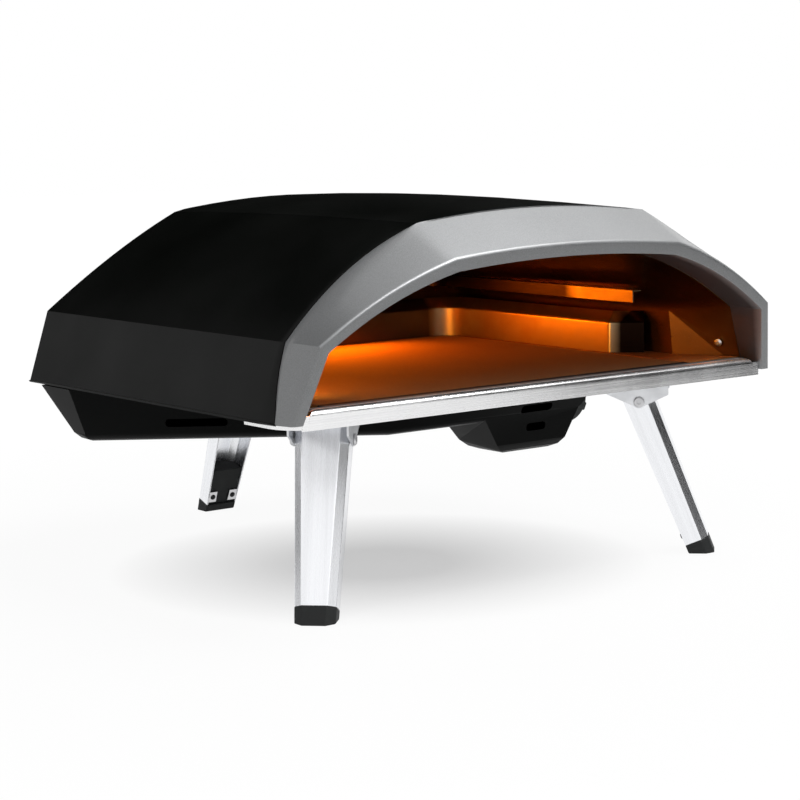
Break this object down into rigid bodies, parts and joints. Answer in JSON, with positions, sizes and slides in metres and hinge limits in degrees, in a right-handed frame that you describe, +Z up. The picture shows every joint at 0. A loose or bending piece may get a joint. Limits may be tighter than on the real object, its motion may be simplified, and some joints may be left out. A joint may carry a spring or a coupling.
{
  "type": "portable pizza oven",
  "caption": "Gas pizza oven with a faceted black shell, a grey flared mouth, a lift-out baking stone, a push-and-turn knob and folding legs that stand it on a table",
  "frame": {"origin": "on the ground under the middle of the oven", "axes": "+Z up, the mouth faces -Y, the knob is on the +X side"},
  "size_m": [0.582, 0.6304, 0.3627],
  "materials": {
    "shell": "fine textured black powder coat",
    "fascia": "satin silver-grey enamel",
    "sill": "brushed stainless steel",
    "stone": "fired cordierite stone",
    "liner": "plain stainless sheet, heat tinted",
    "burner": "heat-darkened steel tube",
    "steel": "plain steel",
    "brass": "plain brass",
    "ceramic": "glazed white ceramic",
    "pan": "satin black powder coat",
    "knob": "moulded black plastic",
    "leg": "brushed along the leg",
    "foot": "moulded black rubber"
  },
  "bodies": {
    "oven": {"outer_shell": "shell", "front_fascia": "fascia", "front_sill": "sill", "floor_plate": "sill", "chamber_liner": "liner", "liner_rear_wall": "liner", "liner_screw_left": "steel", "liner_screw_right": "steel", "burner_shelf": "liner", "burner_guard": "liner", "flame_deflector": "liner", "burner_tube": "burner", "burner_support_front": "liner", "burner_support_rear": "liner", "igniter_ceramic": "ceramic", "igniter_tip": "steel", "belly_pan": "pan", "pan_screw_1": "steel", "pan_screw_2": "steel", "pan_screw_3": "steel", "pan_screw_4": "steel", "valve_body": "brass", "valve_screw_1": "steel", "valve_screw_2": "steel", "gas_jet": "brass", "mixing_tube": "steel", "supply_pipe": "brass", "gas_inlet": "brass", "leg_plate_left": "sill", "leg_plate_right": "sill", "leg_plate_rear": "sill", "bracket_front_left": "leg", "bracket_front_right": "leg", "bracket_rear": "leg", "hinge_pin_front_left": "steel", "hinge_pin_front_right": "steel", "hinge_pin_rear": "steel", "rivet_front_left_1": "steel", "rivet_front_left_2": "steel", "rivet_front_right_1": "steel", "rivet_front_right_2": "steel", "rivet_rear_1": "steel", "rivet_rear_2": "steel"},
    "stone": {"baking_stone": "stone"},
    "plug": {"valve_plug": "brass"},
    "knob": {"control_knob": "knob", "valve_stem": "steel"},
    "front_left_leg": {"leg_front_left": "leg", "foot_front_left": "foot"},
    "front_right_leg": {"leg_front_right": "leg", "foot_front_right": "foot"},
    "rear_leg": {"leg_rear": "leg", "foot_rear": "foot"}
  },
  "joints": [
    {"name": "stone_lift", "type": "slide", "parent": "oven", "child": "stone", "axis": [0, 0, 1], "range_m": [0, 0.016]},
    {"name": "valve_turn", "type": "hinge", "parent": "oven", "child": "plug", "pos_m": [0.24242, -0.019, 0.1335], "axis": [0.9045, 0, -0.4265], "range_deg": [0, 180]},
    {"name": "knob_push", "type": "slide", "parent": "plug", "child": "knob", "axis": [-0.9045, 0, 0.4265], "range_m": [0, 0.003], "stiffness_N_per_m": 1200, "springref_m": -0.003},
    {"name": "front_left_leg_fold", "type": "hinge", "parent": "oven", "child": "front_left_leg", "pos_m": [-0.194, -0.195, 0.1545], "axis": [0.7071, -0.7071, 0], "range_deg": [0, 95]},
    {"name": "front_right_leg_fold", "type": "hinge", "parent": "oven", "child": "front_right_leg", "pos_m": [0.194, -0.195, 0.1545], "axis": [0.7071, 0.7071, 0], "range_deg": [0, 95]},
    {"name": "rear_leg_fold", "type": "hinge", "parent": "oven", "child": "rear_leg", "pos_m": [0, 0.2403, 0.1545], "axis": [-1, 0, 0], "range_deg": [0, 95]}
  ]
}
